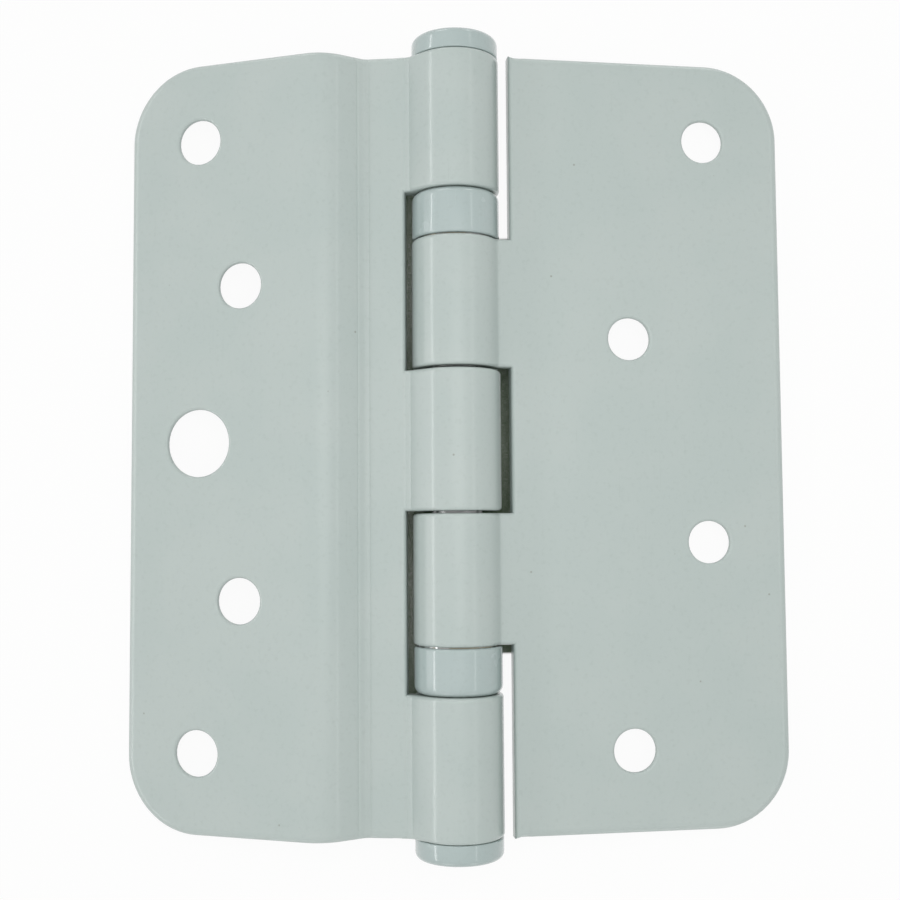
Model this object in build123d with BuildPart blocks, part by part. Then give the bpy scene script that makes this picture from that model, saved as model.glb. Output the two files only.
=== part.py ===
"""Ball bearing butt hinge with one cranked leaf, lying open on its barrel, back faces up.

The pin runs along Y. The cranked leaf reaches to -X and the flat leaf to +X, and both slope down
from the barrel until their outer edges touch the table, which is the plane Z = 0. The origin is
on the table, below the middle of the pin.
"""

import os
from math import asin, atan2, cos, hypot, radians, sin, sqrt, tan

from build123d import *

os.makedirs("parts", exist_ok=True)

# Driving dimensions of the leaves, in millimetres and degrees
leaf_height = 102.0
leaf_reach = 43.8
sheet = 2.5
closed_gap = 0.7
corner_radius = 10.0
edge_round = 0.5

# Barrel, rolled from the leaves in one piece with them
barrel_radius = 5.85
end_knuckle = 18.2
flat_knuckle = 17.0
knuckle_gap = 0.3
roll_seam = 0.2
cranked_neck_slope = 36.0
cranked_neck_fillet = 1.2
flat_neck_slope = 52.0
flat_neck_fillet = 0.6
neck_land = 0.02

# Slots between each leaf's straight edge and the barrel
flat_slot = 1.0
strip_slot = 0.6

# Crank of the left leaf: the strip beside the barrel steps up to a plate that leans back
crank_start = 11.6
crank_rise = 3.7
crank_angle = 37.0
plate_lean = 11.0
valley_radius = 1.2
crest_radius = 6.0

# Screw holes, countersunk from the inner faces, with their places along the leaf from the pin
cranked_hole_radius = 3.0
flat_hole_radius = 2.8
centre_hole_radius = 4.45
hole_land = 1.0
hole_rim_round = 0.4
countersink_angle = 90.0
outer_hole_pitch = 81.0
inner_hole_pitch = 41.4
cranked_outer_row = 32.9
cranked_inner_row = 26.9
flat_hole_pitch = 27.0
flat_outer_row = 33.4
flat_inner_row = 22.8

# Pin and its end caps
pin_clearance = 0.05
pin_chamfer = 0.5
cap_height = 2.75
cap_inset = 0.1
cap_round = 0.9
plug_length = 4.0
plug_clearance = 0.02
plug_to_pin = 0.2

# Thrust bearings
bearing_height = 6.3
collar_inset = 0.05
collar_wall = 0.5
collar_end_wall = 0.6
collar_round = 1.1
collar_lip_round = 0.35
collar_running_gap = 0.15
race_clearance = 0.06
ball_radius = 0.6
ball_count = 10
groove_depth = 0.25
groove_clearance = 0.04
cage_thickness = 0.4
cage_pocket_clearance = 0.05
cage_clearance = 0.12

# Sizes that follow from the ones above
inner_offset = closed_gap / 2
back_offset = inner_offset + sheet
bore_radius = barrel_radius - sheet
flat_edge_to_pin = barrel_radius + flat_slot
strip_edge_to_pin = barrel_radius + strip_slot
pin_radius = bore_radius - pin_clearance
leaf_end = leaf_height / 2
bearing_outer_end = leaf_end - end_knuckle
bearing_inner_end = bearing_outer_end - bearing_height
flat_knuckle_end = bearing_inner_end - flat_knuckle
centre_knuckle = 2 * (flat_knuckle_end - knuckle_gap)
lean = radians(plate_lean)
crest = Vector(crank_start + crank_rise / tan(radians(crank_angle)), back_offset + crank_rise)
plate_offset = crest.X * sin(lean) + crest.Y * cos(lean) - sheet
cap_radius = barrel_radius - cap_inset
plug_radius = bore_radius - plug_clearance
plug_end = leaf_end - plug_length
collar_radius = barrel_radius - collar_inset
collar_bore = collar_radius - collar_wall
race_bore = pin_radius + race_clearance
race_outer = collar_bore - race_clearance
race_gap = 2 * (ball_radius - groove_depth + groove_clearance)
race_height = (bearing_height - collar_end_wall - race_gap) / 2
ball_circle = (race_bore + race_outer) / 2
ball_plane_height = bearing_inner_end + race_height + race_gap / 2
pin_axis = Axis((0, 0, barrel_radius), (0, 1, 0))
pin_plane = Plane(origin=(0, 0, barrel_radius), x_dir=(1, 0, 0), z_dir=(0, -1, 0))


def lying_plate(offset_from_pin):
    """Slope in radians and length of a plate that lies with its lower outer edge on the table.

    Its inner face passes offset_from_pin above the pin's axis, and its upper outer edge comes out
    at leaf_reach. The length runs along the plate, from the foot of the pin's perpendicular.
    """
    drop = barrel_radius - edge_round
    slope = 0.0
    for _ in range(8):
        run = leaf_reach - edge_round - (sheet - 2 * edge_round) * sin(slope)
        slope = atan2(drop, run) + asin((offset_from_pin + edge_round) / hypot(run, drop))
    return slope, run * cos(slope) + drop * sin(slope) + edge_round


def leaning_plane(side, slope):
    """Plane across the pin: its X runs out along a leaf on that side, its Y up to the back face."""
    along = (side * cos(slope), 0, -sin(slope))
    return Plane(origin=(0, 0, barrel_radius), x_dir=along, z_dir=(0, -side, 0))


def hole_plane(plane, offset_from_pin):
    """Plane on a leaf's inner face, facing away from it: X along the leaf, Y along the pin."""
    origin = plane.from_local_coords((0, offset_from_pin, 0))
    return Plane(origin=origin, x_dir=plane.x_dir, z_dir=-plane.y_dir)


def knuckle(plane, length, leaf_edge, neck_slope, neck_fillet):
    """Build a rolled knuckle and its neck, drawn on a plane across the pin.

    The neck leaves the roll in a straight ramp, which runs down to the leaf's back face. It ends
    at the leaf's edge, or neck_land past its own fillet where that reaches further out.
    """
    slope = radians(neck_slope)
    ramp_top = (barrel_radius * sin(slope), barrel_radius * cos(slope))
    ramp_foot = ((barrel_radius - back_offset * cos(slope)) / sin(slope), back_offset)
    fillet_end = ramp_foot[0] + neck_fillet * tan(slope / 2)
    neck_reach = max(leaf_edge, fillet_end + neck_land)
    neck_heel = (sqrt(barrel_radius**2 - inner_offset**2), inner_offset)
    neck_end = ((neck_reach, back_offset), (neck_reach, inner_offset))
    with BuildSketch(plane) as section:
        with BuildLine():
            Polyline(ramp_top, ramp_foot, *neck_end, neck_heel)
            ThreePointArc(neck_heel, (-barrel_radius, 0), ramp_top)
        make_face()
        fillet(section.vertices().sort_by_distance(ramp_foot)[0], radius=neck_fillet)
        Circle(bore_radius, mode=Mode.SUBTRACT)
        with Locations((barrel_radius, inner_offset - roll_seam / 2)):
            Rectangle(2 * barrel_radius, roll_seam, mode=Mode.SUBTRACT)
    extrude(section.sketch, amount=length)


def countersunk_holes(radius, places):
    """Cut screw holes through the leaf at these places, countersunk down to hole_land."""
    mouth = radius + (sheet - hole_land) * tan(radians(countersink_angle / 2))
    with Locations(*places):
        CounterSinkHole(radius, mouth, depth=2 * sheet, counter_sink_angle=countersink_angle)


def round_hole_rims(leaf, plane, back_face):
    """Round the screw holes' rims on the back face, which lies back_face above the pin's axis."""
    circles = leaf.edges().filter_by(GeomType.CIRCLE).filter_by(lambda edge: edge.is_closed)
    rims = circles.filter_by(
        lambda circle: abs(plane.to_local_coords(circle.arc_center).Y - back_face) < edge_round / 2
    )
    fillet(rims, radius=hole_rim_round)


def round_plate(plate, plane):
    """Round a plate's two outer corners in plan, and its outline on both faces."""
    outwards = Axis((0, 0, 0), plane.x_dir)
    across = plate.edges().filter_by(Axis((0, 0, 0), plane.y_dir))
    fillet(across.sort_by(outwards)[-2:], radius=corner_radius)
    fillet(plate.edges().filter_by(Axis.Y).sort_by(outwards)[-2:], radius=edge_round)


def round_knuckles(knuckles):
    """Round the rims of rolled knuckles, and the edges of the necks that run on from them."""
    rims = knuckles.edges().filter_by(GeomType.CIRCLE)
    fillet(rims.filter_by(lambda rim: abs(rim.radius - barrel_radius) < sheet / 2), edge_round)


plate_slope, plate_length = lying_plate(plate_offset)
flat_slope, flat_length = lying_plate(inner_offset)
plate_plane = leaning_plane(-1, plate_slope)
strip_plane = leaning_plane(-1, plate_slope - lean)
flat_plane = leaning_plane(1, flat_slope)

# Cranked leaf: strip, step and leaning plate are one sheet of even thickness, rolled at one side
plate_foot = Vector(sin(lean), cos(lean)) * (plate_offset + sheet)
plate_end = plate_foot + Vector(cos(lean), -sin(lean)) * plate_length
with BuildPart() as cranked_plate:
    with BuildSketch(strip_plane):
        with BuildLine():
            FilletPolyline(
                (strip_edge_to_pin, back_offset),
                (crank_start, back_offset),
                (crest.X, crest.Y),
                (plate_end.X, plate_end.Y),
                radius=[valley_radius, crest_radius],
            )
            offset(amount=sheet, side=Side.RIGHT)
        make_face()
    extrude(amount=leaf_end, both=True)
    round_plate(cranked_plate, plate_plane)

with BuildPart() as cranked_knuckles:
    for start, length in (
        (bearing_outer_end, end_knuckle),
        (-centre_knuckle / 2, centre_knuckle),
        (-leaf_end, end_knuckle),
    ):
        plane = strip_plane.offset(start)
        knuckle(plane, length, strip_edge_to_pin, cranked_neck_slope, cranked_neck_fillet)
    round_knuckles(cranked_knuckles)

with BuildPart() as cranked_leaf:
    add(cranked_plate.part)
    add(cranked_knuckles.part)
    with Locations(hole_plane(plate_plane, plate_offset)):
        countersunk_holes(
            cranked_hole_radius,
            [(cranked_outer_row, end * outer_hole_pitch / 2) for end in (-1, 1)]
            + [(cranked_inner_row, end * inner_hole_pitch / 2) for end in (-1, 1)],
        )
        countersunk_holes(centre_hole_radius, [(cranked_outer_row, 0)])
    round_hole_rims(cranked_leaf, plate_plane, plate_offset + sheet)
cranked_leaf.part.label = "cranked_leaf"
export_step(cranked_leaf.part, "parts/cranked_leaf.step")

# Flat leaf: a plain plate with two knuckles that fit between those of the cranked leaf
with BuildPart() as flat_plate:
    with BuildSketch(flat_plane):
        with Locations(((flat_edge_to_pin + flat_length) / 2, (inner_offset + back_offset) / 2)):
            Rectangle(flat_length - flat_edge_to_pin, sheet)
    extrude(amount=leaf_end, both=True)
    round_plate(flat_plate, flat_plane)

with BuildPart() as flat_knuckles:
    for start in (flat_knuckle_end, -bearing_inner_end):
        plane = flat_plane.offset(start)
        knuckle(plane, flat_knuckle, flat_edge_to_pin, flat_neck_slope, flat_neck_fillet)
    round_knuckles(flat_knuckles)

# The holes stand in two staggered rows; along the pin they are counted from the bottom end
flat_rows = (flat_inner_row, flat_outer_row) * 2
with BuildPart() as flat_leaf:
    add(flat_plate.part)
    add(flat_knuckles.part)
    with Locations(hole_plane(flat_plane, inner_offset)):
        countersunk_holes(
            flat_hole_radius,
            [(reach, (1.5 - row) * flat_hole_pitch) for row, reach in enumerate(flat_rows)],
        )
    round_hole_rims(flat_leaf, flat_plane, back_offset)
flat_leaf.part.label = "flat_leaf"
export_step(flat_leaf.part, "parts/flat_leaf.step")

# Pin, held between the plugs of the two caps
with BuildPart() as hinge_pin:
    with BuildSketch(pin_plane):
        Circle(pin_radius)
    extrude(amount=plug_end - plug_to_pin, both=True)
    chamfer(hinge_pin.edges().filter_by(GeomType.CIRCLE), length=pin_chamfer)
hinge_pin.part.label = "hinge_pin"
export_step(hinge_pin.part, "parts/hinge_pin.step")


def turned(profile, end):
    """Turn an outline of (radius, distance along the pin) points about the pin."""
    with BuildSketch(Plane.XY.offset(barrel_radius)) as outline:
        with BuildLine():
            Polyline([(radius, end * along) for radius, along in profile], close=True)
        make_face()
    revolve(outline.sketch, axis=pin_axis)


for name, end in (("top", 1), ("bottom", -1)):
    # Cap: a button as wide as the barrel, with a plug that is pressed into the end knuckle
    with BuildPart() as cap:
        turned(
            [
                (0, plug_end),
                (plug_radius, plug_end),
                (plug_radius, leaf_end),
                (cap_radius, leaf_end),
                (cap_radius, leaf_end + cap_height),
                (0, leaf_end + cap_height),
            ],
            end,
        )
        rim = cap.edges().filter_by(GeomType.CIRCLE).sort_by(Axis((0, 0, 0), (0, end, 0)))[-1]
        fillet(rim, radius=cap_round)
    cap.part.label = f"{name}_cap"
    export_step(cap.part, f"parts/{name}_cap.step")

    # Bearing: its closed end stands against the end knuckle, and its inner race on the flat leaf's
    with BuildPart() as collar:
        turned(
            [
                (race_bore, bearing_outer_end),
                (collar_radius, bearing_outer_end),
                (collar_radius, bearing_inner_end + collar_running_gap),
                (collar_bore, bearing_inner_end + collar_running_gap),
                (collar_bore, bearing_outer_end - collar_end_wall),
                (race_bore, bearing_outer_end - collar_end_wall),
            ],
            end,
        )
        rims = collar.edges().filter_by(GeomType.CIRCLE).filter_by(
            lambda edge: abs(edge.radius - collar_radius) < collar_inset / 2
        )
        lip, closed_rim = rims.sort_by(Axis((0, 0, 0), (0, end, 0)))
        fillet(closed_rim, radius=collar_round)
        fillet(lip, radius=collar_lip_round)
    collar.part.label = f"{name}_bearing_collar"
    export_step(collar.part, f"parts/{name}_bearing_collar.step")

    # Races: two rings with a groove each for the balls
    races = (
        ("fixed", bearing_outer_end - collar_end_wall - race_height, 0),
        ("turning", bearing_inner_end, 1),
    )
    for role, low_face, groove_side in races:
        groove_face = low_face + groove_side * race_height
        groove_centre = groove_face + (2 * groove_side - 1) * (ball_radius - groove_depth)
        with BuildPart() as race:
            turned(
                [
                    (race_bore, low_face),
                    (race_outer, low_face),
                    (race_outer, low_face + race_height),
                    (race_bore, low_face + race_height),
                ],
                end,
            )
            with BuildSketch(Plane.XY.offset(barrel_radius)):
                with Locations((ball_circle, end * groove_centre)):
                    Circle(ball_radius + groove_clearance)
            revolve(axis=pin_axis, mode=Mode.SUBTRACT)
        race.part.label = f"{name}_bearing_{role}_race"
        export_step(race.part, f"parts/{name}_bearing_{role}_race.step")

    # Balls, spaced by the cage
    ball_plane = pin_plane.offset(-end * ball_plane_height)
    with BuildPart() as balls:
        with Locations(ball_plane):
            with PolarLocations(ball_circle, ball_count):
                Sphere(ball_radius)
    balls.part.label = f"{name}_bearing_balls"
    export_step(balls.part, f"parts/{name}_bearing_balls.step")

    with BuildPart() as cage:
        with BuildSketch(ball_plane.offset(-cage_thickness / 2)):
            Circle(race_outer - cage_clearance)
            Circle(race_bore + cage_clearance, mode=Mode.SUBTRACT)
            with PolarLocations(ball_circle, ball_count):
                Circle(ball_radius + cage_pocket_clearance, mode=Mode.SUBTRACT)
        extrude(amount=cage_thickness)
    cage.part.label = f"{name}_bearing_cage"
    export_step(cage.part, f"parts/{name}_bearing_cage.step")
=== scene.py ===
"""Ball bearing butt hinge lying open on its barrel, back faces up, on a plain pale table."""

from math import cos, pi, radians, sin, sqrt, tan

import bmesh
import bpy
import numpy as np
from mathutils import Matrix, Vector


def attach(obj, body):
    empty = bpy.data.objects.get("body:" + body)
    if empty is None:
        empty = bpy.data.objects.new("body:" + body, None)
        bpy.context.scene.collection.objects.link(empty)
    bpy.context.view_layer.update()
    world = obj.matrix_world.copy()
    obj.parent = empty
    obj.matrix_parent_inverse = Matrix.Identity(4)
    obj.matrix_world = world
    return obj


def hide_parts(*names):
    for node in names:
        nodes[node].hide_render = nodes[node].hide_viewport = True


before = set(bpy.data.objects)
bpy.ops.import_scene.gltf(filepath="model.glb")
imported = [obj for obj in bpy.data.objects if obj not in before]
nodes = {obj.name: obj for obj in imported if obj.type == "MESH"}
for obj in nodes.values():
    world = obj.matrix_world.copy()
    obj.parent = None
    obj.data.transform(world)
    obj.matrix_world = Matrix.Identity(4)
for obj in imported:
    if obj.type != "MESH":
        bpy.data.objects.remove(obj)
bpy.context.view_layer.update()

MM = 0.001
WHITE = (1.0, 1.0, 1.0, 1.0)

# ------------------------------------------------------------------ camera
# The photograph looks almost straight down on the back faces, from close by. Lengths are in
# millimetres, but for the clipping range, which is in metres.
PHOTO_SIZE = 900
FOCAL_PIXELS = 1258.0
SENSOR_WIDTH = 36.0
CLIP_START, CLIP_END = 0.005, 20.0
VIEW_TILT, VIEW_PAN, VIEW_ROLL = (radians(a) for a in (-3.606, 0.07, 0.389))
VIEW_SHIFT = Vector((0.904, 1.159))
VIEW_DISTANCE = 165.631
PIN_HEIGHT = 5.85


def make_camera():
    """Camera over the pin: it is turned by roll, pan and tilt and stands VIEW_DISTANCE above."""
    turn = (
        Matrix.Rotation(VIEW_ROLL, 3, "Z")
        @ Matrix.Rotation(VIEW_PAN, 3, "Y")
        @ Matrix.Rotation(VIEW_TILT, 3, "X")
    )
    to_world = turn.transposed()
    place = to_world @ Vector((-VIEW_SHIFT.x, -VIEW_SHIFT.y, VIEW_DISTANCE))
    place.z += PIN_HEIGHT
    camera = bpy.data.objects.new("camera", bpy.data.cameras.new("camera"))
    camera.matrix_world = Matrix.Translation(place * MM) @ to_world.to_4x4()
    camera.data.sensor_width = SENSOR_WIDTH
    camera.data.lens = FOCAL_PIXELS / PHOTO_SIZE * SENSOR_WIDTH
    camera.data.clip_start, camera.data.clip_end = CLIP_START, CLIP_END
    bpy.context.scene.collection.objects.link(camera)
    bpy.context.scene.camera = camera


make_camera()
bpy.context.scene.view_settings.view_transform = "Standard"

# ------------------------------------------------- sizes, in millimetres
LEAF_END = 51.0
SHEET = 2.5
BARREL_RADIUS = 5.85
INNER_OFFSET = 0.35
BACK_OFFSET = INNER_OFFSET + SHEET
EDGE_ROUND = 0.5
# The shears rolled the leaves' outline over further in than the rounds of the knuckles
OUTLINE_ROUND, OUTLINE_FADE = 1.0, 1.5
CORNER_RADIUS = 10.0
CRANKED_NECK_SLOPE, CRANKED_NECK_RADIUS = radians(36), 1.2
FLAT_NECK_SLOPE, FLAT_NECK_RADIUS = radians(52), 0.6
HOLE_RIM_ROUND = 0.4
# The land is half as long as the CAD's, so that less of the holes' walls shows, as in the photo.
# A countersink's mouth is COUNTERSINK wider in radius than its hole.
HOLE_LAND = 0.5
COUNTERSINK = 1.5
STRIP_EDGE, FLAT_EDGE = 6.45, 6.85
BEARING_OUTER_END, BEARING_INNER_END, FLAT_KNUCKLE_END, CENTRE_KNUCKLE_END = 32.8, 26.5, 9.5, 9.2
CRANK_START, CRANK_RISE, CRANK_ANGLE = 11.6, 3.7, radians(37)
VALLEY_RADIUS, CREST_RADIUS = 1.2, 6.0
PLATE_LEAN = radians(11)
PLATE_SLOPE, PLATE_LENGTH = radians(17.22405), 43.01811
FLAT_SLOPE, FLAT_LENGTH = radians(8.19998), 43.90862
# A roll's end lies this far above the pin's level, 0.2 mm short of the leaf's inner face
SEAM_ANGLE = radians(1.5)
# Lines left by the press tool on both sides of the valley, along the pin
CREASE_DEPTH, CREASE_WIDTH = 0.035, 0.12
# Each crease as (break of the path, distance past it)
CREASES = [(2, 0.0), (3, 0.0), (4, -0.05), (5, 0.75)]
# Screw holes: places along the plates and along the pin, and radii
OUTER_ROW, INNER_ROW = 32.9, 26.9
OUTER_HOLE_Y, INNER_HOLE_Y = 40.5, 20.7
FLAT_ROWS, FLAT_HOLE_PITCH = (22.8, 33.4, 22.8, 33.4), 27.0
CRANKED_HOLE_RADIUS, CENTRE_HOLE_RADIUS, FLAT_HOLE_RADIUS = 3.0, 4.45, 2.8

# ----------------------------------- fineness of the grids, in millimetres
# Widest step and sharpest turn from one grid line to the next
GRID_STEP, GRID_TURN = 1.1, radians(5)
# A line held this close beside each edge makes smooth shading bend only there
HOLD = 0.1
# Sheet kept round each countersink, and where rings lie on it from the rim to its border
HOLE_MARGIN = 1.0
RING_SHARES = (0, 0.02, 0.1, 0.3, 0.6, 1.0)
# Grid lines on each side of a crease, half a CREASE_WIDTH apart
CREASE_LINES = 4
PATH_SAMPLES = 8001
# Lines that agree to this many decimals are one line
LINE_DIGITS, SAME_LINE = 6, 1e-6
# Points this close, in metres, are one point; sharper edges than this stay sharp
SAME_POINT = 2e-7
SHARP_ANGLE = radians(38)


# ------------------------------------------------------- surfaces in numpy
def grid_quads(rows, columns, closed=False):
    """Corner numbers of a grid's quads; its points are numbered row by row, and may close on."""
    i, j = np.meshgrid(
        np.arange(rows - 1), np.arange(columns if closed else columns - 1), indexing="ij"
    )
    k = (j + 1) % columns
    return np.stack(
        [i * columns + j, i * columns + k, (i + 1) * columns + k, (i + 1) * columns + j], -1
    )


def add_piece(name, patches, material, body, replaced):
    """Join patches of (points in mm, quads) into one smooth piece.

    Points that patches share become one, which closes the surface.
    """
    points = [surface.reshape(-1, 3) for surface, _ in patches]
    firsts = np.cumsum([0] + [len(p) for p in points[:-1]])
    quads = np.concatenate(
        [faces.reshape(-1, 4) + first for (_, faces), first in zip(patches, firsts)]
    )
    used, quads = np.unique(quads, return_inverse=True)
    mesh = bpy.data.meshes.new(name)
    mesh.from_pydata(np.concatenate(points)[used] * MM, [], quads.reshape(-1, 4).tolist())
    merged = bmesh.new()
    merged.from_mesh(mesh)
    bmesh.ops.remove_doubles(merged, verts=merged.verts, dist=SAME_POINT)
    bmesh.ops.recalc_face_normals(merged, faces=merged.faces)
    merged.to_mesh(mesh)
    merged.free()
    mesh.shade_smooth()
    mesh.set_sharp_from_angle(angle=SHARP_ANGLE)
    mesh.materials.append(material)
    piece = bpy.data.objects.new(name, mesh)
    bpy.context.scene.collection.objects.link(piece)
    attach(piece, body)
    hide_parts(replaced)
    return piece


class SheetPath:
    """The back face of a bent sheet, as seen along the pin, from the roll's end to the outer edge.

    Each run is a (length, turn) pair, along which the heading turns evenly, so that it is a
    straight or an arc. The point at distance s is the sum of short chords up to s. Anchor is a
    (run, along, up) triple that gives the place of that run's first point.
    """

    def __init__(self, first_heading, runs, anchor):
        lengths, turns = np.array(runs).T
        self.breaks = np.concatenate([[0.0], np.cumsum(lengths)])
        self.headings = first_heading + np.concatenate([[0.0], np.cumsum(turns)])
        self.samples = np.linspace(0.0, self.breaks[-1], PATH_SAMPLES)
        heading = self.heading(self.samples)
        middle = (heading[1:] + heading[:-1]) / 2
        chords = np.diff(self.samples)[:, None] * np.stack([np.cos(middle), np.sin(middle)], 1)
        self.places = np.concatenate([np.zeros((1, 2)), np.cumsum(chords, 0)])
        self.places += np.array(anchor[1:]) - self.at(self.breaks[anchor[0]])
        self.creases = np.zeros(0)

    def heading(self, s):
        """Direction in which the back face runs on at distance s."""
        return np.interp(s, self.breaks, self.headings)

    def at(self, s):
        """Place of the back face at distance s; past an end it runs straight on."""
        inside = np.clip(s, 0.0, self.breaks[-1])
        over = s - inside
        heading = self.heading(inside)
        along = np.interp(inside, self.samples, self.places[:, 0]) + over * np.cos(heading)
        up = np.interp(inside, self.samples, self.places[:, 1]) + over * np.sin(heading)
        return np.stack([along, up], -1)

    def lines(self, marks):
        """Grid lines through all marks and breaks, closer together where the sheet is bent."""
        marks = np.concatenate([marks, self.breaks[1:-1]])
        marks = np.unique(np.round(marks, LINE_DIGITS))
        last = self.breaks[-1] - OUTLINE_ROUND + SAME_LINE
        marks = marks[(marks >= EDGE_ROUND) & (marks <= last)]
        runs = []
        for a, b in zip(marks, marks[1:]):
            bend = abs(self.heading(b) - self.heading(a))
            steps = max((b - a) / GRID_STEP, bend / GRID_TURN)
            count = max(1, int(np.ceil(steps - SAME_LINE)))
            runs.append(np.linspace(a, b, count, endpoint=False))
        return np.append(np.concatenate(runs), marks[-1])

    def world(self, sheet_points, side, slope):
        """Points (s, y, depth below the back face) of the sheet, bent and laid on one side.

        Each crease sinks the back face by CREASE_DEPTH exp(-(distance / CREASE_WIDTH)^2), and
        the sheet's deeper points by less and less.
        """
        s, y, depth = np.moveaxis(sheet_points, -1, 0)
        distance = (s[..., None] - self.creases) / CREASE_WIDTH
        sunk = CREASE_DEPTH * np.exp(-distance**2).sum(-1)
        depth = depth + sunk * (1 - depth / SHEET)
        heading = self.heading(s)
        along, up = np.moveaxis(self.at(s), -1, 0)
        along = along + depth * np.sin(heading)
        up = up - depth * np.cos(heading)
        x = side * (along * cos(slope) + up * sin(slope))
        z = PIN_HEIGHT - along * sin(slope) + up * cos(slope)
        return np.stack([x, y, z], -1)


def knuckle_runs(slope, neck_radius):
    """Runs of a rolled knuckle: round the pin, down a straight ramp, back level with the leaf.

    The ramp touches the roll, so its length is the root of its foot's squared distance from
    the pin less the squared barrel radius. Also gives the first heading, and how far from the
    pin the neck's fillet ends.
    """
    heading = SEAM_ANGLE + 3 * pi / 2
    foot = (BARREL_RADIUS - BACK_OFFSET * cos(slope)) / sin(slope)
    ramp = sqrt(foot**2 + BACK_OFFSET**2 - BARREL_RADIUS**2)
    neck = neck_radius * tan(slope / 2)
    runs = [
        (BARREL_RADIUS * (heading + slope), -heading - slope),
        (ramp - neck, 0.0),
        (neck_radius * slope, slope),
    ]
    return heading, runs, foot + neck


def cranked_path():
    """Path of the cranked leaf: roll, neck, strip, valley, step, crest and leaning plate."""
    heading, runs, neck_end = knuckle_runs(CRANKED_NECK_SLOPE, CRANKED_NECK_RADIUS)
    valley = VALLEY_RADIUS * tan(CRANK_ANGLE / 2)
    crest_turn = CRANK_ANGLE + PLATE_LEAN
    crest = CREST_RADIUS * tan(crest_turn / 2)
    corner_along = CRANK_START + CRANK_RISE / tan(CRANK_ANGLE)
    corner_up = BACK_OFFSET + CRANK_RISE
    plate_start = corner_along * cos(PLATE_LEAN) - corner_up * sin(PLATE_LEAN)
    runs += [
        (CRANK_START - valley - neck_end, 0.0),
        (VALLEY_RADIUS * CRANK_ANGLE, CRANK_ANGLE),
        (CRANK_RISE / sin(CRANK_ANGLE) - valley - crest, 0.0),
        (CREST_RADIUS * crest_turn, -crest_turn),
        (PLATE_LENGTH - plate_start - crest, 0.0),
    ]
    return SheetPath(heading, runs, (3, neck_end, BACK_OFFSET))


def flat_path():
    """Path of the flat leaf: roll, neck and plate."""
    heading, runs, neck_end = knuckle_runs(FLAT_NECK_SLOPE, FLAT_NECK_RADIUS)
    runs.append((FLAT_LENGTH - neck_end, 0.0))
    return SheetPath(heading, runs, (3, neck_end, BACK_OFFSET))


def walk(corners):
    """Grid places met on the way round a closed loop of straight runs between corners."""
    runs = []
    for (i0, j0), (i1, j1) in zip(corners, corners[1:] + corners[:1]):
        count = max(abs(i1 - i0), abs(j1 - j0))
        runs.append(np.linspace((i0, j0), (i1, j1), count, endpoint=False))
    return np.rint(np.concatenate(runs)).astype(int)


def outward(loop):
    """Mitred outward directions along a closed plan loop that runs counter-clockwise."""
    ahead = np.roll(loop, -1, 0) - loop
    ahead /= np.linalg.norm(ahead, axis=1, keepdims=True)
    behind = np.roll(ahead, 1, 0)
    normal = np.stack([ahead[:, 1] + behind[:, 1], -ahead[:, 0] - behind[:, 0]], -1)
    return normal / (1 + (ahead * behind).sum(1))[:, None]


def round_corners(plan, end, height):
    """Bend the plan's two outer square corners round.

    In each corner's square, with its inner corner as origin and a, b up to R, the point (a, b)
    goes to (a sqrt(1 - b^2 / 2R^2), b sqrt(1 - a^2 / 2R^2)), which lays the outer sides on an arc.
    """
    radius = CORNER_RADIUS - OUTLINE_ROUND
    a = np.clip(plan[..., 0] - (end - radius), 0, None)
    b = np.clip(np.abs(plan[..., 1]) - (height - radius), 0, None)
    shorter_a = a * np.sqrt(1 - b**2 / (2 * radius**2)) - a
    shorter_b = b * np.sqrt(1 - a**2 / (2 * radius**2)) - b
    return plan + np.stack([shorter_a, np.sign(plan[..., 1]) * shorter_b], -1)


def quarter(radius, count=6):
    """Offsets of a quarter round of an edge: how far out, and how deep, from face to side."""
    angle = np.linspace(0, pi / 2, count + 1)
    return radius * np.sin(angle), radius * (1 - np.cos(angle))


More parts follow.
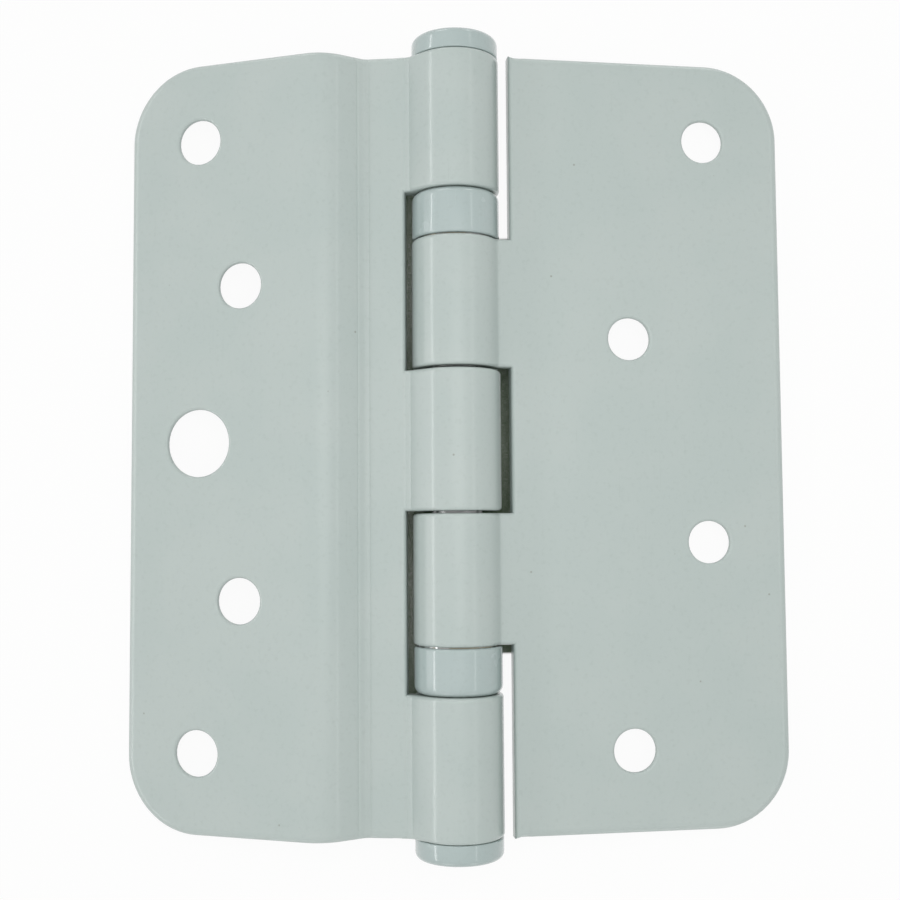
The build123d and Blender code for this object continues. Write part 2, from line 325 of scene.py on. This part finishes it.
def leaf_patches(path, side, slope, fingers, holes):
    """Patches of a whole leaf, worked out flat as (s, y, depth) and then bent by its path.

    Both faces are one grid of s and y lines with the squares round the screw holes left out. Each
    square gets rays from its border to the hole's rim. The hole's wall and the leaf's side are
    profiles carried round the rim and round the outline.
    """
    end = path.breaks[-1] - OUTLINE_ROUND
    height = LEAF_END - OUTLINE_ROUND
    edge_s = path.s_at_edge + EDGE_ROUND
    finger_sides = [
        (max(low + EDGE_ROUND, -height), min(high - EDGE_ROUND, height)) for low, high in fingers
    ]
    squares = [(s, y, radius + COUNTERSINK + HOLE_MARGIN) for s, y, radius in holes]
    s_marks = [EDGE_ROUND, EDGE_ROUND + HOLD, edge_s, edge_s + HOLD, end - HOLD, end]
    s_marks += [edge_s + OUTLINE_FADE, end - CORNER_RADIUS + OUTLINE_ROUND]
    s_marks += [s + way * half for s, _, half in squares for way in (-1, 1)]
    near = range(-CREASE_LINES, CREASE_LINES + 1)
    s_marks += [s + k * CREASE_WIDTH / 2 for s in path.creases for k in near]
    y_marks = [height, height - HOLD, height - CORNER_RADIUS + OUTLINE_ROUND]
    y_marks += [-y for y in y_marks]
    y_marks += [y for low, high in finger_sides for y in (low, low + HOLD, high - HOLD, high)]
    y_marks += [y + way * half for _, y, half in squares for way in (-1, 1)]
    s_lines = path.lines(s_marks)
    y_marks = np.unique(np.round(y_marks, LINE_DIGITS))
    y_lines = np.concatenate(
        [
            np.linspace(a, b, max(1, int(np.ceil((b - a) / GRID_STEP))), endpoint=False)
            for a, b in zip(y_marks, y_marks[1:])
        ]
        + [y_marks[-1:]]
    )

    def place(lines, value):
        """Number of the grid line at this value."""
        return int(np.argmin(np.abs(lines - value)))

    def round_width(s):
        """Width of the edge's round: narrow on the knuckles, wide from OUTLINE_FADE past them."""
        return np.interp(s, [edge_s, edge_s + OUTLINE_FADE], [EDGE_ROUND, OUTLINE_ROUND])

    plan = np.stack(np.meshgrid(s_lines, y_lines, indexing="ij"), -1)
    plan = round_corners(plan, end, height)
    plan[:, [0, -1], 1] += (OUTLINE_ROUND - round_width(s_lines))[:, None] * [-1, 1]
    middle_s = (s_lines[1:] + s_lines[:-1])[:, None] / 2
    middle_y = (y_lines[1:] + y_lines[:-1])[None, :] / 2
    kept = (middle_s > edge_s) & (np.abs(middle_y) < height)
    for low, high in finger_sides:
        kept |= (middle_s < edge_s) & (middle_y > low) & (middle_y < high)
    for s, y, half in squares:
        kept &= (np.abs(middle_s - s) > half) | (np.abs(middle_y - y) > half)
    grid = grid_quads(*plan.shape[:2])[kept]

    def at_depth(points, depth):
        """Flat points (s, y) at this depth below the back face, bent and laid in place."""
        depth = np.broadcast_to(np.asarray(depth, float), points.shape[:-1])
        return path.world(np.concatenate([points, depth[..., None]], -1), side, slope)

    patches = [(at_depth(plan, depth), grid) for depth in (0.0, SHEET)]

    # Screw holes
    for (s, y, radius), (_, _, half) in zip(holes, squares):
        i0, i1 = (place(s_lines, s + way * half) for way in (-1, 1))
        j0, j1 = (place(y_lines, y + way * half) for way in (-1, 1))
        border = plan[tuple(walk([(i0, j0), (i1, j0), (i1, j1), (i0, j1)]).T)]
        angle = np.arctan2(border[:, 1] - y, border[:, 0] - s)
        ray = np.stack([np.cos(angle), np.sin(angle)], -1)
        mouth = radius + COUNTERSINK
        for rim, depth in ((radius + HOLE_RIM_ROUND, 0.0), (mouth, SHEET)):
            share = np.array(RING_SHARES)[:, None, None]
            rays = (1 - share) * (np.array([s, y]) + rim * ray) + share * border
            patches.append((at_depth(rays, depth), grid_quads(*rays.shape[:2], closed=True)))
        inwards, depth = quarter(HOLE_RIM_ROUND)
        wall_radius = np.concatenate([radius + HOLE_RIM_ROUND - inwards, [radius, mouth]])
        wall_depth = np.concatenate([depth, [HOLE_LAND, SHEET]])
        wall = np.array([s, y]) + wall_radius[:, None, None] * ray
        patches.append(
            (at_depth(wall, wall_depth[:, None]), grid_quads(*wall.shape[:2], closed=True))
        )

    # Outer side, carried round the outline
    first, last, step = 0, len(s_lines) - 1, place(s_lines, edge_s)
    bottom, top = place(y_lines, -height), place(y_lines, height)
    notches = []
    for low, high in sorted(finger_sides, reverse=True):
        if high < height:
            notches += [(step, place(y_lines, high)), (first, place(y_lines, high))]
        if low > -height:
            notches += [(first, place(y_lines, low)), (step, place(y_lines, low))]
    starts_low = finger_sides[0][0] <= -height
    ends_high = finger_sides[-1][1] >= height
    corners = [(first if starts_low else step, bottom), (last, bottom), (last, top)]
    corners += [(first if ends_high else step, top), *notches]
    loop = plan[tuple(walk(corners).T)]
    out, deep = quarter(EDGE_ROUND)
    side_out = np.concatenate([out, out[::-1]])[:, None, None] / EDGE_ROUND
    side_depth = np.concatenate([deep, (SHEET - deep)[::-1]])[:, None]
    rounds = loop + side_out * round_width(loop[:, 0])[:, None] * outward(loop)
    patches.append((at_depth(rounds, side_depth), grid_quads(*rounds.shape[:2], closed=True)))
    return patches


def turned_patches(profile, end, count=120):
    """Points (radius, distance along the pin) turned about the pin, one circle for each point."""
    radius, along = np.array(profile).T
    angle = np.linspace(0, 2 * pi, count, endpoint=False)
    x = radius[:, None] * np.sin(angle)
    z = PIN_HEIGHT + radius[:, None] * np.cos(angle)
    y = np.broadcast_to(end * along[:, None], x.shape)
    return [(np.stack([x, y, z], -1), grid_quads(len(radius), count, closed=True))]


def rounded(corner, before, after, radius, count=7):
    """Points of a round between the sides from before to corner and from corner to after."""
    corner, before, after = (np.array(p, float) for p in (corner, before, after))
    u = (before - corner) / np.linalg.norm(before - corner)
    v = (after - corner) / np.linalg.norm(after - corner)
    angle = np.linspace(0, pi / 2, count)[:, None]
    return list(corner + radius * (u * (1 - np.sin(angle)) + v * (1 - np.cos(angle))))


# --------------------------------------------------------------- materials
def colour(code):
    """Linear RGBA of an sRGB hex colour."""
    parts = [int(code[i:i + 2], 16) / 255 for i in (1, 3, 5)]
    linear = [c / 12.92 if c <= 0.04045 else ((c + 0.055) / 1.055) ** 2.4 for c in parts]
    return (*linear, 1.0)


def add_node(tree, kind, settings=None, inputs=None):
    """Add one node; inputs are plain values or the output sockets that feed them."""
    node = tree.nodes.new(kind)
    for name, value in (settings or {}).items():
        setattr(node, name, value)
    for name, value in (inputs or {}).items():
        if isinstance(value, bpy.types.NodeSocket):
            tree.links.new(value, node.inputs[name])
        else:
            node.inputs[name].default_value = value
    return node


def new_material(name):
    """An empty material and its node tree."""
    material = bpy.data.materials.new(name)
    material.use_nodes = True
    material.node_tree.nodes.clear()
    return material, material.node_tree


def per_mm(size):
    """Texture scale at which one pattern cell measures size millimetres."""
    return 1 / (size * MM)


def object_place(tree):
    """Socket of the place on the object, in its own metres."""
    return add_node(tree, "ShaderNodeTexCoord").outputs["Object"]


def noise(tree, place, size, detail=2.0, rough=0.5):
    """Soft cloud pattern whose clouds measure about size millimetres."""
    inputs = {"Vector": place, "Scale": per_mm(size), "Detail": detail, "Roughness": rough}
    return add_node(tree, "ShaderNodeTexNoise", inputs=inputs).outputs["Fac"]


def between(tree, value, low, high, start=0.0, end=1.0, kind="SMOOTHSTEP"):
    """Map value from low..high to start..end, held at the ends."""
    node = add_node(
        tree,
        "ShaderNodeMapRange",
        {"interpolation_type": kind},
        {"Value": value, "From Min": low, "From Max": high, "To Min": start, "To Max": end},
    )
    return node.outputs["Result"]


def maths(tree, operation, first, second=0.0):
    """Result of one operation on two values or sockets."""
    node = add_node(tree, "ShaderNodeMath", {"operation": operation})
    for socket, value in zip(node.inputs, (first, second)):
        if isinstance(value, bpy.types.NodeSocket):
            tree.links.new(value, socket)
        else:
            socket.default_value = value
    return node.outputs[0]


def blend(tree, share, under, over):
    """Colour under, covered by colour over as far as share says."""
    node = add_node(tree, "ShaderNodeMix", {"data_type": "RGBA"})
    # A colour mix has its share and its two colours at these inputs
    sockets = [node.inputs[i] for i in (0, 6, 7)]
    for socket, value in zip(sockets, (share, under, over)):
        if isinstance(value, bpy.types.NodeSocket):
            tree.links.new(value, socket)
        else:
            socket.default_value = value
    return node.outputs[2]


def bumps(tree, height, depth, below=None):
    """Surface normal over a height pattern of 0..1 that is depth millimetres deep."""
    inputs = {"Height": height, "Distance": depth * MM, "Strength": 1.0}
    if below is not None:
        inputs["Normal"] = below
    return add_node(tree, "ShaderNodeBump", inputs=inputs).outputs["Normal"]


def finish_material(tree, **inputs):
    """Principled surface with these inputs, as the material's output."""
    inputs = {name.replace("_", " "): value for name, value in inputs.items()}
    surface = add_node(tree, "ShaderNodeBsdfPrincipled", inputs=inputs)
    add_node(tree, "ShaderNodeOutputMaterial", inputs={"Surface": surface.outputs["BSDF"]})


def powder_coat(name, pale, deep, roughness, coat_roughness, peel):
    """Gloss powder coat: a dense pale grey-green film, baked on over the steel.

    The film is fused from powder, so its gloss is broken by a shallow orange peel, a few specks of
    dust are baked in, and it looks a little deeper in colour where it has run together thickly.
    Handling has left faint hairlines that scatter the gloss, and shade is painted into the tight
    gaps.
    """
    material, tree = new_material(name)
    place = object_place(tree)
    film = blend(tree, between(tree, noise(tree, place, 11.0, 3.0), 0.35, 0.65), pale, deep)
    # The powder's own grain is too fine to show, so it is drawn as coarse as 0.6 mm
    grain = noise(tree, place, 0.6, 2.0, 0.6)
    film = blend(tree, between(tree, grain, 0.5, 0.8, 0.0, 0.16), film, colour("#96A09C"))

    # Specks in one of five 3.2 mm cells, drawn 0.3 mm wide so that they show
    cells = add_node(
        tree, "ShaderNodeTexVoronoi", inputs={"Vector": place, "Scale": per_mm(3.2)}
    )
    chance = add_node(
        tree, "ShaderNodeSeparateColor", inputs={"Color": cells.outputs["Color"]}
    )
    speck = between(tree, cells.outputs["Distance"], 0.025, 0.06, 1.0, 0.0)
    speck = maths(tree, "MULTIPLY", speck, between(tree, chance.outputs["Red"], 0.8, 0.82))
    film = blend(tree, maths(tree, "MULTIPLY", speck, 0.55), film, colour("#7A776A"))

    # Hairlines: a pattern drawn out 60 times longer than wide, cut off near its top. Real ones
    # are too fine to show, so they are drawn 0.16 mm wide
    lines = add_node(
        tree,
        "ShaderNodeMapping",
        inputs={"Vector": place, "Rotation": (0.0, 0.0, radians(63)), "Scale": (1.0, 0.016, 1.0)},
    )
    streak = noise(tree, lines.outputs["Vector"], 0.16, 1.0)
    patch = between(tree, noise(tree, place, 9.0), 0.52, 0.68)
    hairline = maths(tree, "MULTIPLY", between(tree, streak, 0.69, 0.76), patch)
    film = blend(tree, maths(tree, "MULTIPLY", hairline, 0.12), film, colour("#8E9692"))

    # Painted shade in the gaps: the film is darkened where little light gets in from a millimetre
    # around
    open_air = add_node(
        tree, "ShaderNodeAmbientOcclusion", {"samples": 4}, {"Distance": 1.0 * MM}
    ).outputs["AO"]
    painted_gap_shade = between(tree, open_air, 0.1, 0.6, 0.35, 0.0)
    film = blend(tree, painted_gap_shade, film, colour("#5E6557"))

    gloss = between(tree, noise(tree, place, 5.0, 3.0), 0.3, 0.7, roughness, roughness + 0.06)
    gloss = maths(tree, "ADD", gloss, maths(tree, "MULTIPLY", hairline, 0.15))
    peeled = bumps(tree, noise(tree, place, 1.3, 1.5), peel)
    peeled = bumps(tree, grain, peel / 6, peeled)
    finish_material(
        tree,
        Base_Color=film,
        Roughness=gloss,
        IOR=1.5,
        Normal=peeled,
        Coat_Weight=0.8,
        Coat_Roughness=coat_roughness,
        Coat_Normal=peeled,
    )
    return material


def turned_steel():
    """Bright drawn steel of the pin: pale metal with fine rings left by the turning tool."""
    material, tree = new_material("bright_turned_steel")
    place = object_place(tree)
    rings = add_node(
        tree, "ShaderNodeMapping", inputs={"Vector": place, "Scale": (0.02, 1.0, 0.02)}
    )
    ring = noise(tree, rings.outputs["Vector"], 0.15, 3.0, 0.7)
    tint = blend(tree, between(tree, ring, 0.3, 0.7), colour("#8E8F90"), colour("#B4B5B4"))
    finish_material(
        tree,
        Base_Color=tint,
        Metallic=1.0,
        Roughness=between(tree, ring, 0.3, 0.7, 0.22, 0.38),
        Normal=bumps(tree, ring, 0.004),
    )
    return material


def bearing_steel():
    """Hardened, ground bearing steel, slightly grey, under patches of thin grease."""
    material, tree = new_material("greased_bearing_steel")
    place = object_place(tree)
    grease = between(tree, noise(tree, place, 1.6, 3.0), 0.4, 0.6)
    finish_material(
        tree,
        Base_Color=blend(tree, grease, colour("#A9AAAB"), colour("#8A8778")),
        Metallic=1.0,
        Roughness=between(tree, grease, 0.0, 1.0, 0.1, 0.3, "LINEAR"),
        Normal=bumps(tree, noise(tree, place, 0.25), 0.002),
    )
    return material


def cage_brass():
    """Pressed brass of the ball cages: warm yellow metal with a dull film of grease."""
    material, tree = new_material("pressed_brass")
    place = object_place(tree)
    film = between(tree, noise(tree, place, 1.1, 3.0), 0.35, 0.65)
    finish_material(
        tree,
        Base_Color=blend(tree, film, colour("#C9A654"), colour("#9C7F3E")),
        Metallic=1.0,
        Roughness=between(tree, film, 0.0, 1.0, 0.2, 0.36, "LINEAR"),
        Normal=bumps(tree, noise(tree, place, 0.3), 0.003),
    )
    return material


leaf_paint = powder_coat(
    "powder_coated_leaf",
    colour("#B7C1BE"),
    colour("#B4BFBC"),
    roughness=0.36,
    coat_roughness=0.16,
    peel=0.01,
)
fitting_paint = powder_coat(
    "powder_coated_fitting",
    colour("#AFBCBB"),
    colour("#ABB9B8"),
    roughness=0.22,
    coat_roughness=0.04,
    peel=0.006,
)
metals = {
    "hinge_pin": turned_steel(),
    "bearing_fixed_race": bearing_steel(),
    "bearing_cage": cage_brass(),
}
metals["bearing_turning_race"] = metals["bearing_balls"] = metals["bearing_fixed_race"]
for node_name, node in nodes.items():
    for part_name, metal in metals.items():
        if node_name.endswith(part_name):
            node.data.materials.clear()
            node.data.materials.append(metal)

# ------------------------------------------------------------------ leaves
cranked = cranked_path()
cranked.s_at_edge = cranked.breaks[3] + STRIP_EDGE - cranked.at(cranked.breaks[3])[0]
plate_foot = cranked.breaks[-1] - PLATE_LENGTH
cranked.creases = np.array([cranked.breaks[number] + past for number, past in CREASES])
cranked_holes = [
    (plate_foot + row, way * y, CRANKED_HOLE_RADIUS)
    for row, y in ((OUTER_ROW, OUTER_HOLE_Y), (INNER_ROW, INNER_HOLE_Y))
    for way in (-1, 1)
]
cranked_holes += [(plate_foot + OUTER_ROW, 0.0, CENTRE_HOLE_RADIUS)]
add_piece(
    "cranked_leaf_sheet",
    leaf_patches(
        cranked,
        -1,
        PLATE_SLOPE - PLATE_LEAN,
        [
            (-LEAF_END, -BEARING_OUTER_END),
            (-CENTRE_KNUCKLE_END, CENTRE_KNUCKLE_END),
            (BEARING_OUTER_END, LEAF_END),
        ],
        cranked_holes,
    ),
    leaf_paint,
    "cranked_leaf",
    "cranked_leaf",
)

flat = flat_path()
flat.s_at_edge = flat.breaks[3] + FLAT_EDGE - flat.at(flat.breaks[3])[0]
flat_foot = flat.breaks[-1] - FLAT_LENGTH
flat_holes = [
    (flat_foot + s, (number - 1.5) * FLAT_HOLE_PITCH, FLAT_HOLE_RADIUS)
    for number, s in enumerate(FLAT_ROWS)
]
add_piece(
    "flat_leaf_sheet",
    leaf_patches(
        flat,
        1,
        FLAT_SLOPE,
        [(-BEARING_INNER_END, -FLAT_KNUCKLE_END), (FLAT_KNUCKLE_END, BEARING_INNER_END)],
        flat_holes,
    ),
    leaf_paint,
    "flat_leaf",
    "flat_leaf",
)

# --------------------------------------------------------- caps and collars
CAP_RADIUS, CAP_END, CAP_ROUND, CAP_LIP_ROUND = 5.75, 53.75, 0.9, 0.2
# A ring this far inside the cap's round keeps the shading of its flat end flat
CAP_RING = 0.3
PLUG_RADIUS, PLUG_END = 3.33, 47.0
COLLAR_END = BEARING_OUTER_END
COLLAR_RADIUS, COLLAR_BORE, COLLAR_HOLE, COLLAR_LIP = 5.8, 5.3, 3.36, 26.65
COLLAR_ROUND, COLLAR_LIP_ROUND, COLLAR_END_WALL = 1.1, 0.35, 0.6
for end_name, end in (("top", 1), ("bottom", -1)):
    cap_profile = [
        (0, PLUG_END),
        (PLUG_RADIUS, PLUG_END),
        (PLUG_RADIUS, LEAF_END),
        *rounded((CAP_RADIUS, LEAF_END), (0, LEAF_END), (CAP_RADIUS, CAP_END), CAP_LIP_ROUND),
        *rounded((CAP_RADIUS, CAP_END), (CAP_RADIUS, LEAF_END), (0, CAP_END), CAP_ROUND),
        (CAP_RADIUS - CAP_ROUND - CAP_RING, CAP_END),
        (0, CAP_END),
    ]
    add_piece(
        f"{end_name}_cap_button",
        turned_patches(cap_profile, end),
        fitting_paint,
        "cranked_leaf",
        f"{end_name}_cap",
    )
    collar_profile = [
        (COLLAR_HOLE, COLLAR_END),
        *rounded(
            (COLLAR_RADIUS, COLLAR_END), (0, COLLAR_END), (COLLAR_RADIUS, COLLAR_LIP), COLLAR_ROUND
        ),
        *rounded(
            (COLLAR_RADIUS, COLLAR_LIP),
            (COLLAR_RADIUS, COLLAR_END),
            (0, COLLAR_LIP),
            COLLAR_LIP_ROUND,
        ),
        (COLLAR_BORE, COLLAR_LIP),
        (COLLAR_BORE, COLLAR_END - COLLAR_END_WALL),
        (COLLAR_HOLE, COLLAR_END - COLLAR_END_WALL),
        (COLLAR_HOLE, COLLAR_END),
    ]
    add_piece(
        f"{end_name}_bearing_cover",
        turned_patches(collar_profile, end),
        fitting_paint,
        "cranked_leaf",
        f"{end_name}_bearing_collar",
    )


# ------------------------------------------------------------ floor, light
def seen_rays(tree):
    """1 for the rays that see the background: straight, in a mirror, or through glass."""
    ray = add_node(tree, "ShaderNodeLightPath").outputs
    seen = maths(tree, "MAXIMUM", ray["Is Camera Ray"], ray["Is Glossy Ray"])
    return maths(tree, "MAXIMUM", seen, ray["Is Transmission Ray"])


def mix_shaders(tree, share, under, over):
    """Surface under, covered by surface over as far as share says."""
    mix = add_node(tree, "ShaderNodeMixShader", inputs={"Fac": share})
    tree.links.new(under, mix.inputs[1])
    tree.links.new(over, mix.inputs[2])
    return mix.outputs["Shader"]


# Slots between the knuckles show the table in deep shade, which is painted on it in strips. The
# strips in millimetres, as (lowest x, highest x, reach along y), and the width of their soft sides
# and ends
SHADED_STRIPS = [(-10.0, 0.0, 35.5), (-1.0, 10.0, 28.5)]
SIDE_FADE, END_FADE = 1.0, 0.4
# Share of the sky left open by what lies within COVER_REACH millimetres: up to COVERED the
# shade is full, and from OPEN on there is none
COVER_REACH, COVERED, OPEN = 14.0, 0.3, 0.45
PAPER, DEEP_SHADE = "#E8E8E6", "#6C7D64"
# Share of the open table's look that is plain white; the rest takes the hinge's shadow
GLOW_SHARE = 0.94
# Half the table's width, in metres
TABLE_HALF = 3


def white_table():
    """White table, lit up to plain white where it is seen past the hinge.

    Under the knuckles, where the hinge covers it, a dark shade is painted on it. From below it
    is clear, so that the hinge's front faces can be looked at.
    """
    material, tree = new_material("white_table")
    place = add_node(tree, "ShaderNodeSeparateXYZ", inputs={"Vector": object_place(tree)})
    x = maths(tree, "MULTIPLY", place.outputs["X"], 1 / MM)
    y = maths(tree, "ABSOLUTE", maths(tree, "MULTIPLY", place.outputs["Y"], 1 / MM))
    strips = []
    for low, high, reach in SHADED_STRIPS:
        from_low = between(tree, x, low, low + SIDE_FADE)
        from_high = between(tree, x, high, high - SIDE_FADE)
        across = maths(tree, "MULTIPLY", from_low, from_high)
        along = between(tree, y, reach, reach - END_FADE)
        strips.append(maths(tree, "MULTIPLY", across, along))
    open_air = add_node(
        tree, "ShaderNodeAmbientOcclusion", {"samples": 8}, {"Distance": COVER_REACH * MM}
    ).outputs["AO"]
    shade = maths(tree, "MAXIMUM", *strips)
    shade = maths(tree, "MULTIPLY", shade, between(tree, open_air, COVERED, OPEN, 1.0, 0.0))
    # Painted shade: the paper turns dark green-grey in the strips where the hinge covers it
    paper = blend(tree, shade, colour(PAPER), colour(DEEP_SHADE))
    plain = add_node(tree, "ShaderNodeBsdfDiffuse", inputs={"Color": paper})
    glow = add_node(tree, "ShaderNodeEmission", inputs={"Color": WHITE, "Strength": 1.0})
    glow_share = between(tree, shade, 0.0, 1.0, GLOW_SHARE, 0.0, "LINEAR")
    glow_share = maths(tree, "MULTIPLY", glow_share, seen_rays(tree))
    top = mix_shaders(tree, glow_share, plain.outputs["BSDF"], glow.outputs["Emission"])
    clear = add_node(tree, "ShaderNodeBsdfTransparent").outputs["BSDF"]
    below = add_node(tree, "ShaderNodeNewGeometry").outputs["Backfacing"]
    surface = mix_shaders(tree, below, top, clear)
    add_node(tree, "ShaderNodeOutputMaterial", inputs={"Surface": surface})
    return material


floor_mesh = bpy.data.meshes.new("table")
floor_corners = [
    (x * TABLE_HALF, y * TABLE_HALF, 0) for x, y in ((-1, -1), (1, -1), (1, 1), (-1, 1))
]
floor_mesh.from_pydata(floor_corners, [], [(0, 1, 2, 3)])
floor = bpy.data.objects.new("table", floor_mesh)
bpy.context.scene.collection.objects.link(floor)
floor.data.materials.append(white_table())

# Brightness of the studio round the pin, as (angle from overhead towards +X in degrees, level,
# colour)
STUDIO = [
    (-90, 0.75, "#F4F8FA"),
    (-66, 0.8, "#F4F8FA"),
    (-60, 1.18, "#FBFDFB"),
    (0, 1.2, "#FBFDFB"),
    (42, 1.14, "#FBFDFB"),
    (50, 1.0, "#F1F8F5"),
    (90, 0.6, "#F1F8F5"),
]
STUDIO_LEVEL = 0.53


def studio_world():
    """Even light from a pale room; the background itself is plain white."""
    world = bpy.data.worlds.new("studio")
    world.use_nodes = True
    tree = world.node_tree
    tree.nodes.clear()
    generated = add_node(tree, "ShaderNodeTexCoord").outputs["Generated"]
    way = add_node(tree, "ShaderNodeSeparateXYZ", inputs={"Vector": generated})
    angle = maths(tree, "ARCTAN2", way.outputs["X"], way.outputs["Z"])
    share = between(tree, angle, -pi / 2, pi / 2, 0.0, 1.0, "LINEAR")
    ramp = add_node(tree, "ShaderNodeValToRGB", inputs={"Fac": share})
    brightest = max(level for _, level, _ in STUDIO)
    stops = ramp.color_ramp.elements
    while len(stops) < len(STUDIO):
        stops.new(0.5)
    for stop, (degrees_over, level, tint) in zip(stops, STUDIO):
        stop.position = (degrees_over + 90) / 180
        stop.color = [c * level / brightest for c in colour(tint)[:3]] + [1.0]
    room = add_node(
        tree,
        "ShaderNodeBackground",
        inputs={"Color": ramp.outputs["Color"], "Strength": brightest * STUDIO_LEVEL},
    )
    white = add_node(tree, "ShaderNodeBackground", inputs={"Color": WHITE, "Strength": 1.0})
    surface = mix_shaders(
        tree, seen_rays(tree), room.outputs["Background"], white.outputs["Background"]
    )
    add_node(tree, "ShaderNodeOutputWorld", inputs={"Surface": surface})
    bpy.context.scene.world = world


studio_world()

# Lamps that face the hinge, as (bearing from +Y towards +X and elevation in degrees; distance,
# width and height in metres; level). Level 1 looks white in a mirror.
STUDIO_LAMPS = {
    "left_tube": (-90, 25, 0.8, 1.0, 0.056, 4.2),
    "right_tube": (90, 47.5, 0.8, 1.0, 0.028, 2.4),
    "left_window": (-90, 10, 0.8, 0.4, 0.26, 0.6),
    "top_left_lamp": (-20, 14, 0.8, 0.26, 0.2, 1.6),
    "top_right_lamp": (24, 14, 0.8, 0.2, 0.2, 1.6),
    "bottom_left_lamp": (-160, 14, 0.8, 0.26, 0.2, 1.0),
    "bottom_right_lamp": (156, 14, 0.8, 0.2, 0.2, 1.0),
    "ceiling_panel": (56, 84, 0.2, 0.1, 0.1, 3.2),
}
# Radiance of a flat lamp of 1 W and 1 square metre
LAMP_RADIANCE = 0.25


def studio_lamp(name, bearing, elevation, distance, width, height, level):
    """Flat lamp of this size and level, at its place, facing the hinge's middle."""
    bearing, elevation = radians(bearing), radians(elevation)
    way = Vector((sin(bearing) * cos(elevation), cos(bearing) * cos(elevation), sin(elevation)))
    lamp = bpy.data.lights.new(name, "AREA")
    lamp.shape = "RECTANGLE"
    lamp.size, lamp.size_y = width, height
    lamp.energy = level * width * height / LAMP_RADIANCE
    light = bpy.data.objects.new(name, lamp)
    facing = way.to_track_quat("Z", "Y").to_matrix().to_4x4()
    light.matrix_world = Matrix.Translation(distance * way) @ facing
    light.visible_camera = False
    bpy.context.scene.collection.objects.link(light)
    return light


lamps = {name: studio_lamp(name, *values) for name, values in STUDIO_LAMPS.items()}
# The panel overhead only lights the hinge; the paint mirrors the plain room instead
lamps["ceiling_panel"].visible_glossy = False
